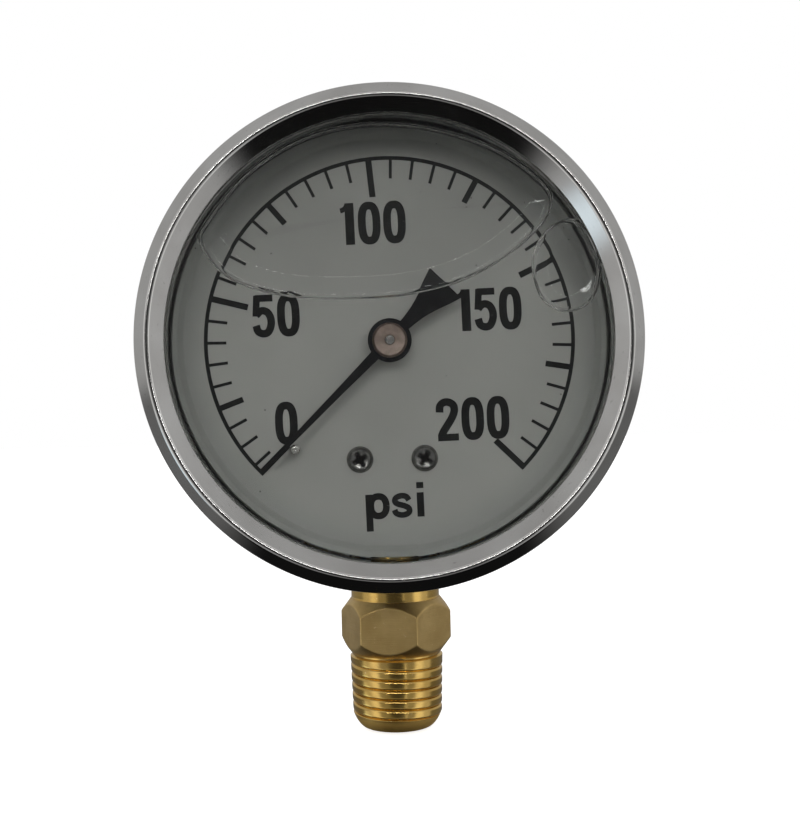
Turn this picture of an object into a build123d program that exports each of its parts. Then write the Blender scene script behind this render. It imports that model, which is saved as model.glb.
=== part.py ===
from build123d import *
import os
from math import acos, cos, pi, radians, sin, sqrt, tan

# Dial pressure gauge with a bottom stem. Millimetres, +Z up, the dial faces -Y.
# The origin is the centre of the stem's end face, on the stem axis.

# gauge head
gauge_z = 56.25           # height of the dial centre above the stem's end
case_r = 31.3
case_wall = 0.8
case_back_y = 12.0
case_front_y = -12.7      # rear side of the case flange
case_corner_r = 3.0
flange_r = 33.2
flange_t = 0.8

# bezel ring, a rolled sheet section that grips window, gasket and flange
bezel_r = 34.25
bezel_lip_r = 30.1
bezel_crest_r = 32.4
bezel_crest_y = -20.4
bezel_shoulder_r = 33.6
bezel_roll_r = 32.2
bezel_sheet = 0.8

# window and its gasket
window_r = 33.2
window_front_y = -17.3
window_t = 3.0
gasket_inner_r = 31.0

# dial
dial_r = 30.2
dial_front_y = -8.6
dial_t = 0.6
dial_rim_w = 0.8
dial_rim_h = 1.0
dial_hole_r = 1.9
notch_w = 6.5
notch_depth = 1.5
dial_screw_x = 4.5
dial_screw_z = gauge_z - 16.4
stop_pin_r = 0.7
stop_pin_orbit = 19.9

# pointer, with angles measured clockwise from straight down as seen from the front
zero_angle = 45.5
pointer_reach = 23.6
pointer_tail = 11.0
pointer_t = 0.4
pointer_y = -11.4         # front face of the pointer
hub_r = 3.02
bush_r = 2.42

# stem: pressure socket with wrench hexagon and a 1/4-18 NPT male thread
pipe_tpi = 18
thread_len = 10.6
thread_end_r = 6.63       # major radius at the small end
thread_depth = 0.55       # the crests are left broad, the grooves shallow
thread_taper = 1 / 32     # radius gained per unit length
end_chamfer = 1.7
neck_r = 6.3
hex_z0 = 11.0
hex_z1 = 19.0
hex_af = 14.2
hex_turn = -8.8           # degrees the hexagon stands turned about the stem axis
hex_chamfer = 2.1
hex_end_r = 6.6           # where the chamfer cones end
hex_bow = 0.12            # how far the chamfer cones are bowed outwards
collar_r = 6.5
port_r = 2.4
port_depth = 9.0
restrictor_r = 1.6
restrictor_len = 3.5
passage_r = 1.2

# socket block inside the case
block_x = 9.0
block_y0 = -3.0
block_y1 = 7.0
block_top = gauge_z - 11.0
ear_x = 12.8
ear_top = gauge_z - 24.5
collar_top = gauge_z - 26.5
case_screw_hole_z = gauge_z - 28.5
case_screw_x = 10.2
case_screw_y = 1.0

# bourdon tube, angles clockwise from straight down
tube_r = 21.0
tube_start = 20.0
tube_end = 285.0
tube_w = 7.0
tube_h = 2.0
tube_wall = 0.25
tube_y = 2.0
tip_pin_orbit = 18.3
tip_pin_angle = 287.0

# movement
gear_module = 0.17
pinion_teeth = 12
sector_full_teeth = 120
sector_teeth = 15
sector_pivot_angle = 25.0  # to the right of straight down
tail_r = 6.0
tail_angle = -51.43
rear_plate_y = -4.0       # front face of the rear plate
front_plate_y = -7.4      # front face of the front plate
plate_t = 0.8
sector_y = -5.1
sector_t = 0.8
link_y = -5.9
link_t = 0.5
running_gap = 0.04
pillar_r = 1.0
pillar_places = [(-6.0, gauge_z - 8.5), (7.0, gauge_z + 1.5), (-5.5, gauge_z + 4.0)]
movement_screw_places = [(-6.0, gauge_z - 12.9), (0.4, gauge_z - 12.9)]
stud_place = (-2.6, gauge_z + 3.1)

hairspring_turns = 4
hairspring_start_r = 1.5
hairspring_half_wire = 0.07
hairspring_y = -6.35
hairspring_w = 0.4
collet_r = 1.42
collet_y = -6.4
collet_len = 0.8

# shafts, pins and gear teeth
shaft_r = 0.6             # pinion arbor
shaft_front_y = -12.4
pivot_r = 0.45            # ends of the sector arbor
arbor_r = 0.7             # body of the sector arbor
end_play = 0.1
pin_r = 0.5               # the two pins of the link
pin_head_r = 0.85
pin_head_t = 0.3
pin_head_gap = 0.35
hub_round_r = 1.9         # hub of the sector
pressure_angle = radians(20)
tooth_slack = 0.03
sector_tooth = (0.13, -0.24)    # tip and root from the pitch circle
pinion_tooth = (0.16, -0.22)
sector_rim = 1.7

# screws: head radius, head height, shank radius, shank length
case_screw = (2.4, 1.5, 1.45, 4.6)
dial_screw = (1.87, 0.9, 0.98, 4.0)
movement_screw = (1.25, 0.5, 0.8, 3.4)
plate_screw = (1.25, 0.5, 0.55, 2.0)

# cuts
over = 1.0                # how far a cut starts outside its part
through = 4.0             # length of a cut that goes right through

# fill plug
plug_r = 4.0
plug_y = 3.0
plug_flange_r = 5.2
plug_flange_t = 1.1

os.makedirs("parts", exist_ok=True)


def save(name, shape):
    export_step(shape, f"parts/{name}.step")


def facing(x, z, y):
    """Plane at height y whose local X is +X, local Y is +Z and whose normal is -Y."""
    return Plane(origin=(x, y, z), x_dir=(1, 0, 0), z_dir=(0, -1, 0))


def disc(x, z, r, front_y, thickness):
    """Round solid along Y whose front face is at front_y."""
    return extrude(facing(x, z, front_y + thickness) * Circle(r), thickness)


def plate(outline, front_y, thickness):
    """Extrudes an outline of (x, z) points or a sketch in row coordinates."""
    return extrude(facing(0, 0, front_y + thickness) * outline, thickness)


def ring_solid(points):
    """Turns a closed (r, y) outline about the gauge axis."""
    corners = [(r, y, gauge_z) for r, y in points]
    return revolve(Face(Wire.make_polygon(corners, close=True)), Axis((0, 0, gauge_z), (0, 1, 0)), 360)


def on_dial(angle, r):
    """Point at a radius and an angle clockwise from straight down."""
    return (-r * sin(radians(angle)), gauge_z - r * cos(radians(angle)))


def pan_screw(head_r, head_h, shank_r, length):
    """Pan-head screw with a cross recess, head seated on z = 0, shank down."""
    head = extrude(Circle(head_r), head_h)
    head = fillet(head.edges().group_by(Axis.Z)[-1], head_h * 0.45)
    slot_w = head_r * 0.26
    slot_l = head_r * 1.15
    cross = Rectangle(slot_l, slot_w) + Rectangle(slot_w, slot_l)
    recess = extrude(Plane.XY.offset(head_h * 0.4) * cross, head_h)
    return head - recess + extrude(Circle(shank_r), -length)


def tooth_outline(teeth, outer_r, root_r, slack, first, count):
    """Points of a run of involute teeth about (0, 0), the first tooth centred on angle first."""
    pitch_r = gear_module * teeth / 2
    base_r = pitch_r * cos(pressure_angle)
    involute = tan(pressure_angle) - pressure_angle
    half_at_pitch = pi / (2 * teeth) - slack / (2 * pitch_r)

    def half_angle(r):
        if r <= base_r:
            return half_at_pitch + involute
        lean = acos(base_r / r)
        return half_at_pitch + involute - (tan(lean) - lean)

    middle_r = (outer_r + max(root_r, base_r)) / 2
    radii = [root_r, max(root_r, base_r) + 0.01, middle_r, outer_r]
    points = []
    for index in range(count):
        axis = radians(first) + index * 2 * pi / teeth
        for r in radii:
            points.append((r * cos(axis - half_angle(r)), r * sin(axis - half_angle(r))))
        for r in reversed(radii):
            points.append((r * cos(axis + half_angle(r)), r * sin(axis + half_angle(r))))
    return points


def hull_of(circles):
    """Sketch of the tight band round a set of (x, z, r) circles."""
    rounds = Sketch()
    for x, z, r in circles:
        rounds += Pos(x, z) * Circle(r)
    return make_hull(rounds.edges())


def bar(a, b, width):
    """Flat strip with round ends between two (x, z) points."""
    return hull_of([(a[0], a[1], width / 2), (b[0], b[1], width / 2)])


# ---- case, bezel and window ----

def case_shell():
    inner = case_r - case_wall
    back = case_back_y
    cup = disc(0, gauge_z, case_r, case_front_y, back - case_front_y)
    cup = fillet(cup.edges().group_by(Axis.Y)[-1], case_corner_r)
    hollow = disc(0, gauge_z, inner, case_front_y, back - case_wall - case_front_y)
    hollow = fillet(hollow.edges().group_by(Axis.Y)[-1], case_corner_r - case_wall)
    flange = disc(0, gauge_z, flange_r, case_front_y - flange_t, flange_t)
    mouth = disc(0, gauge_z, inner, case_front_y - flange_t, flange_t)
    shell = cup - hollow + (flange - mouth)
    stem_hole = Pos(0, 0, gauge_z - case_r) * Cylinder(collar_r + 1.1, 6)
    shell -= stem_hole
    for side in (-1, 1):
        shell -= Pos(side * case_screw_x, case_screw_y, gauge_z - case_r + 2) * Cylinder(1.6, 6)
    shell -= Pos(0, plug_y, gauge_z + case_r) * Cylinder(plug_r, 6)
    return shell


def bezel_ring():
    front_of_lip = window_front_y - bezel_sheet
    rear = case_front_y + bezel_sheet
    side_inner = bezel_r - bezel_sheet
    points = [
        (bezel_lip_r, window_front_y),
        (bezel_lip_r, front_of_lip),
        (bezel_crest_r - 0.25, bezel_crest_y + 0.12),
        (bezel_crest_r, bezel_crest_y),
        (bezel_crest_r + 0.3, bezel_crest_y + 0.18),
        (bezel_shoulder_r, bezel_crest_y + 1.35),
        (bezel_shoulder_r + 0.1, bezel_crest_y + 1.65),
        (bezel_r - 0.15, bezel_crest_y + 2.2),
        (bezel_r, bezel_crest_y + 2.7),
        (bezel_r, rear - 0.9),
        (bezel_r - 0.3, rear - 0.25),
        (bezel_r - 0.9, rear),
        (bezel_roll_r, rear),
        (bezel_roll_r, case_front_y),
        (side_inner, case_front_y),
        (side_inner, bezel_crest_y + 2.9),
        (bezel_crest_r + 0.1, bezel_crest_y + 1.15),
        (bezel_lip_r + 0.5, window_front_y),
    ]
    return ring_solid(points)


def window():
    glass = disc(0, gauge_z, window_r, window_front_y, window_t)
    return chamfer(glass.edges().group_by(Axis.Y)[-1], 0.3)


def window_gasket():
    back = window_front_y + window_t
    outer = disc(0, gauge_z, flange_r, back, case_front_y - flange_t - back)
    return outer - disc(0, gauge_z, gasket_inner_r, back - over, through)


def fill_plug():
    seat = gauge_z + case_r
    shaft = Pos(0, plug_y, seat - 0.5) * Cylinder(plug_r - 0.1, 2.6)
    flange = Pos(0, plug_y, seat + 0.85) * Cylinder(plug_flange_r, plug_flange_t)
    flange = fillet(flange.edges().group_by(Axis.Z)[-1], 0.5)
    nipple = Pos(0, plug_y, seat + 1.7) * Cylinder(1.4, 0.8)
    barb = Pos(0, plug_y, seat - 2.1) * Cone(plug_r + 0.5, plug_r - 0.6, 0.9, rotation=(180, 0, 0))
    return shaft + flange + nipple + barb


# ---- stem ----

def bourdon_arc(width, height, start, end):
    """Round-cornered flat tube section carried round the gauge axis."""
    section = Plane(origin=(0, tube_y, gauge_z - tube_r), x_dir=(0, 1, 0), z_dir=(1, 0, 0))
    outline = section * RectangleRounded(width, height, height * 0.45)
    arc = revolve(outline, Axis((0, 0, gauge_z), (0, 1, 0)), end - start)
    return arc.rotate(Axis((0, 0, gauge_z), (0, 1, 0)), start)


def thread_body():
    """Tapered male thread as a stack of ridges at the thread's real pitch."""
    pitch = 25.4 / pipe_tpi
    points = [(0, 0), (thread_end_r - end_chamfer, 0)]
    ridge = end_chamfer + 0.2
    while ridge < thread_len - 0.6 * pitch:
        crest = thread_end_r + ridge * thread_taper
        points.append((crest - thread_depth, ridge - 0.40 * pitch))
        points.append((crest, ridge - 0.06 * pitch))
        points.append((crest, ridge + 0.06 * pitch))
        points.append((crest - thread_depth, ridge + 0.40 * pitch))
        ridge += pitch
    points += [(neck_r, thread_len), (neck_r, hex_z0 + 0.2), (0, hex_z0 + 0.2)]
    corners = [(r, 0, z) for r, z in points]
    return revolve(Face(Wire.make_polygon(corners, close=True)), Axis.Z, 360)


def hexagon():
    """Wrench hexagon with its corners turned down to a slightly rounded cone at both ends."""
    corner_r = hex_af / sqrt(3)
    height = hex_z1 - hex_z0
    body = extrude(RegularPolygon(corner_r, 6), height)
    outer_r = corner_r + 0.05
    mid_r = (hex_end_r + outer_r) / 2 + hex_bow
    mid_z = hex_chamfer / 2 - hex_bow
    sides = [
        Line((0, 0, 0), (hex_end_r, 0, 0)),
        ThreePointArc((hex_end_r, 0, 0), (mid_r, 0, mid_z), (outer_r, 0, hex_chamfer)),
        Line((outer_r, 0, hex_chamfer), (outer_r, 0, height - hex_chamfer)),
        ThreePointArc((outer_r, 0, height - hex_chamfer), (mid_r, 0, height - mid_z), (hex_end_r, 0, height)),
        Line((hex_end_r, 0, height), (0, 0, height)),
        Line((0, 0, height), (0, 0, 0)),
    ]
    cone = revolve(Face(Wire(sides)), Axis.Z, 360)
    return Pos(0, 0, hex_z0) * Rot(0, 0, hex_turn) * (body & cone)


def stem_socket():
    depth = block_y1 - block_y0
    mid_y = (block_y0 + block_y1) / 2
    low = gauge_z - case_r - 2
    block = Pos(0, mid_y, (low + block_top) / 2) * Box(2 * block_x, depth, block_top - low)
    ears = Pos(0, mid_y, (low + ear_top) / 2) * Box(2 * ear_x, depth, ear_top - low)
    room = disc(0, gauge_z, case_r - case_wall - 0.05, -20, 40)
    block = (block + ears) & room
    for side in (-1, 1):
        boss_len = block_y0 - dial_front_y - dial_t
        block += disc(side * dial_screw_x, dial_screw_z, 2.0, block_y0 - boss_len, boss_len + 1)
        block -= disc(side * dial_screw_x, dial_screw_z, 1.0, block_y0 - boss_len - 1, 6)
        block -= Pos(side * case_screw_x, case_screw_y, case_screw_hole_z) * Cylinder(1.5, 7)
    for x, z in movement_screw_places:
        block -= disc(x, z, 0.8, block_y0 - over, through)
    block += Pos(0, 0, (hex_z1 + collar_top) / 2) * Cylinder(collar_r, collar_top - hex_z1)
    stem = block + hexagon() + thread_body()
    stem -= bourdon_arc(tube_w, tube_h, tube_start, tube_start + 60)
    low_end = (Align.CENTER, Align.CENTER, Align.MIN)
    stem -= Cylinder(port_r, port_depth, align=low_end)
    stem -= Pos(0, 0, port_depth) * Cylinder(restrictor_r, restrictor_len, align=low_end)
    cross_x, cross_z = on_dial(tube_start, tube_r)
    rise = cross_z - port_depth
    stem -= Pos(0, 0, port_depth) * Cylinder(passage_r, rise, align=low_end)
    feed = Pos(cross_x / 2, 1.2, cross_z - 0.9) * Rot(0, 90, 0) * Cylinder(0.7, -cross_x + 0.6)
    return stem - feed


def restrictor_screw():
    low_end = (Align.CENTER, Align.CENTER, Align.MIN)
    body = Pos(0, 0, port_depth) * Cylinder(restrictor_r, restrictor_len, align=low_end)
    body -= Pos(0, 0, port_depth) * Box(2 * restrictor_r + 1, 0.5, 1.2)
    return body - Pos(0, 0, port_depth + restrictor_len / 2) * Cylinder(0.3, restrictor_len + 2)


def stem_seal():
    return Pos(0, 0, gauge_z - case_r + 0.3) * Torus(collar_r + 0.53, 0.5)


def case_screws():
    seat = gauge_z - sqrt(case_r ** 2 - (case_screw_x + case_screw[0]) ** 2) - 0.75
    screws = []
    for side in (-1, 1):
        screw = pan_screw(*case_screw)
        screws.append(Pos(side * case_screw_x, case_screw_y, seat - 1.0) * Rot(180, 0, 0) * screw)
    return Compound(children=screws)


# ---- tube and movement ----

def bourdon_tube():
    shell = bourdon_arc(tube_w, tube_h, tube_start, tube_end)
    bore = bourdon_arc(tube_w - 2 * tube_wall, tube_h - 2 * tube_wall, tube_start - 2, tube_end + 2)
    return shell - bore


def tube_tip():
    cap = bourdon_arc(tube_w + 1.2, tube_h + 1.0, tube_end, tube_end + 5)
    pin_x, pin_z = on_dial(tip_pin_angle, tip_pin_orbit)
    foot_x, foot_z = on_dial(tube_end + 2.5, tube_r)
    arm_back = tube_y - tube_w / 2 + 0.2
    foot = disc(foot_x, foot_z, 0.8, sector_y, arm_back - sector_y)
    lug = plate(bar((foot_x, foot_z), (pin_x, pin_z), 2.0), sector_y, sector_t)
    return cap + foot + lug - disc(pin_x, pin_z, pin_r, sector_y - over, through)


def pivot_pin(x, z):
    """Shouldered pin that holds the link on one of its two pivots."""
    head = disc(x, z, pin_head_r, link_y - pin_head_gap, pin_head_t)
    return head + disc(x, z, pin_r, link_y - end_play, sector_y + sector_t - link_y + end_play)


def sector_pivot():
    reach = gear_module * (pinion_teeth + sector_full_teeth) / 2
    turn = radians(sector_pivot_angle)
    return (reach * sin(turn), gauge_z - reach * cos(turn))


def tail_place():
    x, z = sector_pivot()
    return (x + tail_r * cos(radians(tail_angle)), z + tail_r * sin(radians(tail_angle)))


def sector_gear():
    px, pz = sector_pivot()
    pitch_r = gear_module * sector_full_teeth / 2
    towards_pinion = 90 + sector_pivot_angle
    step = 360 / sector_full_teeth
    teeth_after = 2
    first = towards_pinion - (sector_teeth - 1 - teeth_after) * step
    tip_r = pitch_r + sector_tooth[0]
    root_r = pitch_r + sector_tooth[1]
    teeth = tooth_outline(sector_full_teeth, tip_r, root_r, tooth_slack, first, sector_teeth)
    rim_r = pitch_r - sector_rim
    last = towards_pinion + teeth_after * step
    angles = (last + 1, (first + last) / 2, first - 1)
    inner = [(rim_r * cos(radians(a)), rim_r * sin(radians(a))) for a in angles]
    blade = Pos(px, pz) * make_face(Polyline(*teeth, *inner, close=True))
    hub_circle = (px, pz, hub_round_r)
    ends = []
    for angle in (first + 1, last - 1):
        ends.append((px + rim_r * cos(radians(angle)), pz + rim_r * sin(radians(angle))))
    for x, z in ends:
        blade += hull_of([hub_circle, (x, z, 0.7)])
    tail = tail_place()
    blade += hull_of([hub_circle, (tail[0], tail[1], 1.2)])
    gear = plate(blade, sector_y, sector_t)
    gear -= disc(px, pz, arbor_r, sector_y - over, through)
    return gear - disc(tail[0], tail[1], pin_r, sector_y - over, through)


def sector_arbor():
    px, pz = sector_pivot()
    front = front_plate_y + end_play
    rear = rear_plate_y + plate_t - end_play
    pivots = disc(px, pz, pivot_r, front, rear - front)
    body_front = front_plate_y + plate_t + end_play
    body = disc(px, pz, arbor_r, body_front, rear_plate_y - end_play - body_front)
    return pivots + body


def tail_pin():
    x, z = tail_place()
    return pivot_pin(x, z)


def link():
    tail = tail_place()
    tip = on_dial(tip_pin_angle, tip_pin_orbit)
    strip = plate(bar(tail, tip, 2.2), link_y, link_t)
    strip -= disc(tail[0], tail[1], pin_r + running_gap, link_y - over, through)
    return strip - disc(tip[0], tip[1], pin_r + 3.5 * running_gap, link_y - over, through)


def tip_pin():
    x, z = on_dial(tip_pin_angle, tip_pin_orbit)
    return pivot_pin(x, z)


def plate_outline(extra):
    px, pz = sector_pivot()
    rounds = [(0, gauge_z, 3.0), (px, pz, 2.2)] + extra
    rounds += [(x, z, pillar_r + 0.8) for x, z in pillar_places]
    return hull_of(rounds)


def pivot_holes(shape, front_y):
    px, pz = sector_pivot()
    shape -= disc(0, gauge_z, shaft_r + running_gap, front_y - over, through)
    return shape - disc(px, pz, pivot_r + running_gap, front_y - over, through)


def movement_rear_plate():
    feet = [(x, z, 1.9) for x, z in movement_screw_places]
    shape = plate(plate_outline(feet), rear_plate_y, plate_t)
    shape -= plate(plate_relief(), rear_plate_y - over, through)
    for x, z in movement_screw_places:
        shape -= disc(x, z, 0.85, rear_plate_y - over, through)
    return pivot_holes(shape, rear_plate_y)


def plate_relief():
    """Round cut-outs that clear the two dial bosses."""
    relief = Sketch()
    for side in (-1, 1):
        relief += Pos(side * dial_screw_x, dial_screw_z) * Circle(2.2)
    return relief


def movement_front_plate():
    shape = plate(plate_outline([]), front_plate_y, plate_t)
    for x, z in pillar_places:
        shape -= disc(x, z, 0.65, front_plate_y - over, through)
    return pivot_holes(shape, front_plate_y)


def movement_pillars():
    front = front_plate_y + plate_t
    posts = []
    for x, z in pillar_places:
        post = disc(x, z, pillar_r, front, rear_plate_y - front)
        posts.append(post - disc(x, z, 0.55, front - 1, 2.4))
    return Compound(children=posts)


def small_screws(places, seat_y, size):
    screws = []
    for x, z in places:
        screw = pan_screw(*size)
        screws.append(facing(x, z, seat_y) * screw)
    return Compound(children=screws)


def hairspring():
    """Flat spiral, four turns wound round the pinion arbor out to the stud."""
    per_turn = 24
    end_r = sqrt(stud_place[0] ** 2 + (stud_place[1] - gauge_z) ** 2)
    end_angle = pi - acos(-stud_place[0] / end_r)
    outer = []
    inner = []
    for index in range(hairspring_turns * per_turn + 1):
        part = index / (hairspring_turns * per_turn)
        r = hairspring_start_r + (end_r - hairspring_start_r) * part
        angle = end_angle - 2 * pi * hairspring_turns * (1 - part)
        outer.append(((r + hairspring_half_wire) * cos(angle), (r + hairspring_half_wire) * sin(angle)))
        inner.append(((r - hairspring_half_wire) * cos(angle), (r - hairspring_half_wire) * sin(angle)))
    band = Pos(0, gauge_z) * make_face(Polyline(*outer, *reversed(inner), close=True))
    return plate(band, hairspring_y, hairspring_w)


def hairspring_stud():
    x, z = stud_place
    front = front_plate_y + plate_t
    post = disc(x, z, 0.5, front, 1.0)
    return post - plate(Pos(x, z) * Rectangle(0.3, 2), hairspring_y - 0.05, hairspring_w + 0.1) - hairspring()


def hairspring_collet():
    sleeve = disc(0, gauge_z, collet_r, collet_y, collet_len)
    return sleeve - disc(0, gauge_z, shaft_r, collet_y - over, through)


def pinion_arbor():
    rear = rear_plate_y + plate_t - end_play
    rod = disc(0, gauge_z, shaft_r, shaft_front_y, rear - shaft_front_y)
    pitch_r = gear_module * pinion_teeth / 2
    gap_angle = sector_pivot_angle - 90 + 180 / pinion_teeth
    tip_r = pitch_r + pinion_tooth[0]
    root_r = pitch_r + pinion_tooth[1]
    teeth = tooth_outline(pinion_teeth, tip_r, root_r, tooth_slack, gap_angle, pinion_teeth)
    rosette = Pos(0, gauge_z) * make_face(Polyline(*teeth, close=True))
    return rod + plate(rosette, sector_y - end_play, sector_t + 2 * end_play)


# ---- dial side ----

def dial():
    sheet = disc(0, gauge_z, dial_r, dial_front_y, dial_t)
    rim = disc(0, gauge_z, dial_r, dial_front_y - dial_rim_h, dial_rim_h)
    rim -= disc(0, gauge_z, dial_r - dial_rim_w, dial_front_y - through, through + over)
    sheet += rim
    sheet -= disc(0, gauge_z, dial_hole_r, dial_front_y - over, through)
    for side in (-1, 1):
        notch_z = gauge_z + side * dial_r
        notch = Rectangle(notch_w, 2 * notch_depth)
        sheet -= plate(Pos(0, notch_z) * notch, dial_front_y - through, through + over)
        sheet -= disc(side * dial_screw_x, dial_screw_z, 1.1, dial_front_y - over, through)
    pin_x, pin_z = on_dial(zero_angle - 3.4, stop_pin_orbit)
    return sheet - disc(pin_x, pin_z, 0.5, dial_front_y - over, through)


def dial_screws():
    screws = []
    for side in (-1, 1):
        screw = pan_screw(*dial_screw)
        screws.append(facing(side * dial_screw_x, dial_screw_z, dial_front_y) * screw)
    return Compound(children=screws)


def stop_pin():
    x, z = on_dial(zero_angle - 3.4, stop_pin_orbit)
    post = disc(x, z, stop_pin_r, pointer_y - 0.4, dial_front_y - pointer_y + 0.4)
    post = chamfer(post.edges().group_by(Axis.Y)[0], 0.2)
    return post + disc(x, z, 0.48, dial_front_y - 0.1, dial_t + 0.3)


def pointer():
    """Tapered needle with a flared tail, drawn along +X then turned to the zero mark."""
    upper = [(pointer_reach, 0.0), (pointer_reach - 0.35, 0.3), (9.0, 0.52), (2.6, 0.7)]
    upper += [(-2.6, 0.75), (-5.3, 1.1), (-7.2, 1.6), (-7.9, 1.9), (-pointer_tail, 2.95)]
    lower = [(x, -w) for x, w in reversed(upper[1:])]
    needle = make_face(Polyline(*upper, *lower, close=True)) + Circle(hub_r)
    needle -= Circle(bush_r - 0.42)
    turned = Pos(0, gauge_z) * Rot(0, 0, 270 - zero_angle) * needle
    return plate(turned, pointer_y, pointer_t)


def pointer_bush():
    """Round bush riveted through the pointer and pressed on the arbor."""
    cap = disc(0, gauge_z, bush_r, pointer_y - 0.9, 0.9)
    cap = chamfer(cap.edges().group_by(Axis.Y)[0], 0.35)
    neck = disc(0, gauge_z, bush_r - 0.44, pointer_y, 1.3)
    return cap + neck - disc(0, gauge_z, shaft_r, pointer_y - through, 2 * through)


save("case_shell", case_shell())
save("bezel_ring", bezel_ring())
save("window", window())
save("window_gasket", window_gasket())
save("fill_plug", fill_plug())
save("stem_socket", stem_socket())
save("restrictor_screw", restrictor_screw())
save("stem_seal", stem_seal())
save("case_screws", case_screws())
save("bourdon_tube", bourdon_tube())
save("tube_tip", tube_tip())
save("tip_pin", tip_pin())
save("link", link())
save("tail_pin", tail_pin())
save("sector_gear", sector_gear())
save("sector_arbor", sector_arbor())
save("pinion_arbor", pinion_arbor())
save("hairspring", hairspring())
save("hairspring_collet", hairspring_collet())
save("hairspring_stud", hairspring_stud())
save("movement_rear_plate", movement_rear_plate())
save("movement_front_plate", movement_front_plate())
save("movement_pillars", movement_pillars())
save("movement_screws", small_screws(movement_screw_places, rear_plate_y, movement_screw))
save("plate_screws", small_screws(pillar_places, front_plate_y, plate_screw))
save("dial", dial())
save("dial_screws", dial_screws())
save("stop_pin", stop_pin())
save("pointer", pointer())
save("pointer_bush", pointer_bush())
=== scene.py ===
import bpy
import bmesh
import math
import numpy as np
from mathutils import Matrix, Vector


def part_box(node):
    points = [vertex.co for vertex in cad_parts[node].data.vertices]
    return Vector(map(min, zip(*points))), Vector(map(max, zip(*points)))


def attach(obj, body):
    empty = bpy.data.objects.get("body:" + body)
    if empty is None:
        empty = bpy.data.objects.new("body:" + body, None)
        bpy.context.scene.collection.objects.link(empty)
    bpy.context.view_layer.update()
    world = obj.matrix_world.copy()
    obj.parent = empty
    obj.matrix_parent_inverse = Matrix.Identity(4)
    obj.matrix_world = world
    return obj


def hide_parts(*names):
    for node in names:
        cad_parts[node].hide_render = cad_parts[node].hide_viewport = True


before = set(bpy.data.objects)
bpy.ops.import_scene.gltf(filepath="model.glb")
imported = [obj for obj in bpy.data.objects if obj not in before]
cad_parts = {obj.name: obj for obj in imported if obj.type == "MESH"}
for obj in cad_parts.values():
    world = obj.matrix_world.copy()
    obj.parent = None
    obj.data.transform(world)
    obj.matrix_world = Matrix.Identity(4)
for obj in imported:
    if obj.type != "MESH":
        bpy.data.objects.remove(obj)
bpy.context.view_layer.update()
print("frame loaded", len(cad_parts), "nodes")

mm = 0.001
tau = 2 * math.pi

# places that come from the frame, in millimetres
bezelLow, bezelHigh = [np.array(corner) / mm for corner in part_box("bezel_ring")]
windowLow, windowHigh = [np.array(corner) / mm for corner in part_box("window")]
dialLow, dialHigh = [np.array(corner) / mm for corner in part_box("dial")]
caseLow, caseHigh = [np.array(corner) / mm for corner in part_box("case_shell")]
stemLow, stemHigh = [np.array(corner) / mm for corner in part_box("stem_socket")]
plugLow, plugHigh = [np.array(corner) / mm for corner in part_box("fill_plug")]
pointerLow, pointerHigh = [np.array(corner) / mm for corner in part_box("pointer")]
bushLow, bushHigh = [np.array(corner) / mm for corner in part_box("pointer_bush")]
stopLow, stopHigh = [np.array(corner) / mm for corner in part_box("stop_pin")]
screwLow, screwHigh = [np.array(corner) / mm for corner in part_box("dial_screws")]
gaugeX = (bezelLow[0] + bezelHigh[0]) / 2
gaugeZ = (bezelLow[2] + bezelHigh[2]) / 2
windowBack = windowHigh[1]
dialThick = 0.6
dialFace = dialHigh[1] - dialThick      # front of the dial's sheet, behind its turned-up rim


# ---------- meshes ----------

def makeObject(name, verts, faces, sharp=30):
    # verts in millimetres; doubled points at poles and seams are merged and faces turned outwards
    mesh = bpy.data.meshes.new(name)
    mesh.from_pydata((np.asarray(verts) * mm).tolist(), [], faces)
    work = bmesh.new()
    work.from_mesh(mesh)
    bmesh.ops.remove_doubles(work, verts=work.verts, dist=1e-8)
    bmesh.ops.dissolve_degenerate(work, edges=work.edges, dist=1e-9)
    bmesh.ops.recalc_face_normals(work, faces=work.faces)
    work.to_mesh(mesh)
    work.free()
    mesh.polygons.foreach_set("use_smooth", [True] * len(mesh.polygons))
    mesh.set_sharp_from_angle(angle=math.radians(sharp))
    piece = bpy.data.objects.new(name, mesh)
    bpy.context.scene.collection.objects.link(piece)
    return piece


def gridFaces(rows, columns, closeRows, closeColumns, first=0):
    # quads of a rows x columns grid of points, joined end to start where asked
    i = np.arange(rows if closeRows else rows - 1)[:, None]
    j = np.arange(columns if closeColumns else columns - 1)[None, :]
    a = i * columns + j
    b = i * columns + (j + 1) % columns
    c = ((i + 1) % rows) * columns + (j + 1) % columns
    d = ((i + 1) % rows) * columns + j
    return (np.stack([a, b, c, d], axis=-1).reshape(-1, 4) + first).tolist()


def gridObject(name, points, closeRows=False, closeColumns=False, sharp=30):
    # a surface given as a (rows, columns, 3) array of points
    rows, columns = points.shape[:2]
    return makeObject(name, points.reshape(-1, 3), gridFaces(rows, columns, closeRows, closeColumns), sharp)


def turnedY(profile, count):
    # profile of (radius, y) carried round the gauge axis: x = r sin t, z = r cos t
    profile = np.asarray(profile, float)
    t = np.linspace(0, tau, count, endpoint=False)[:, None]
    x = gaugeX + profile[None, :, 0] * np.sin(t)
    z = gaugeZ + profile[None, :, 0] * np.cos(t)
    y = np.broadcast_to(profile[None, :, 1], x.shape)
    return np.stack([x, y, z], axis=-1)


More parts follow.
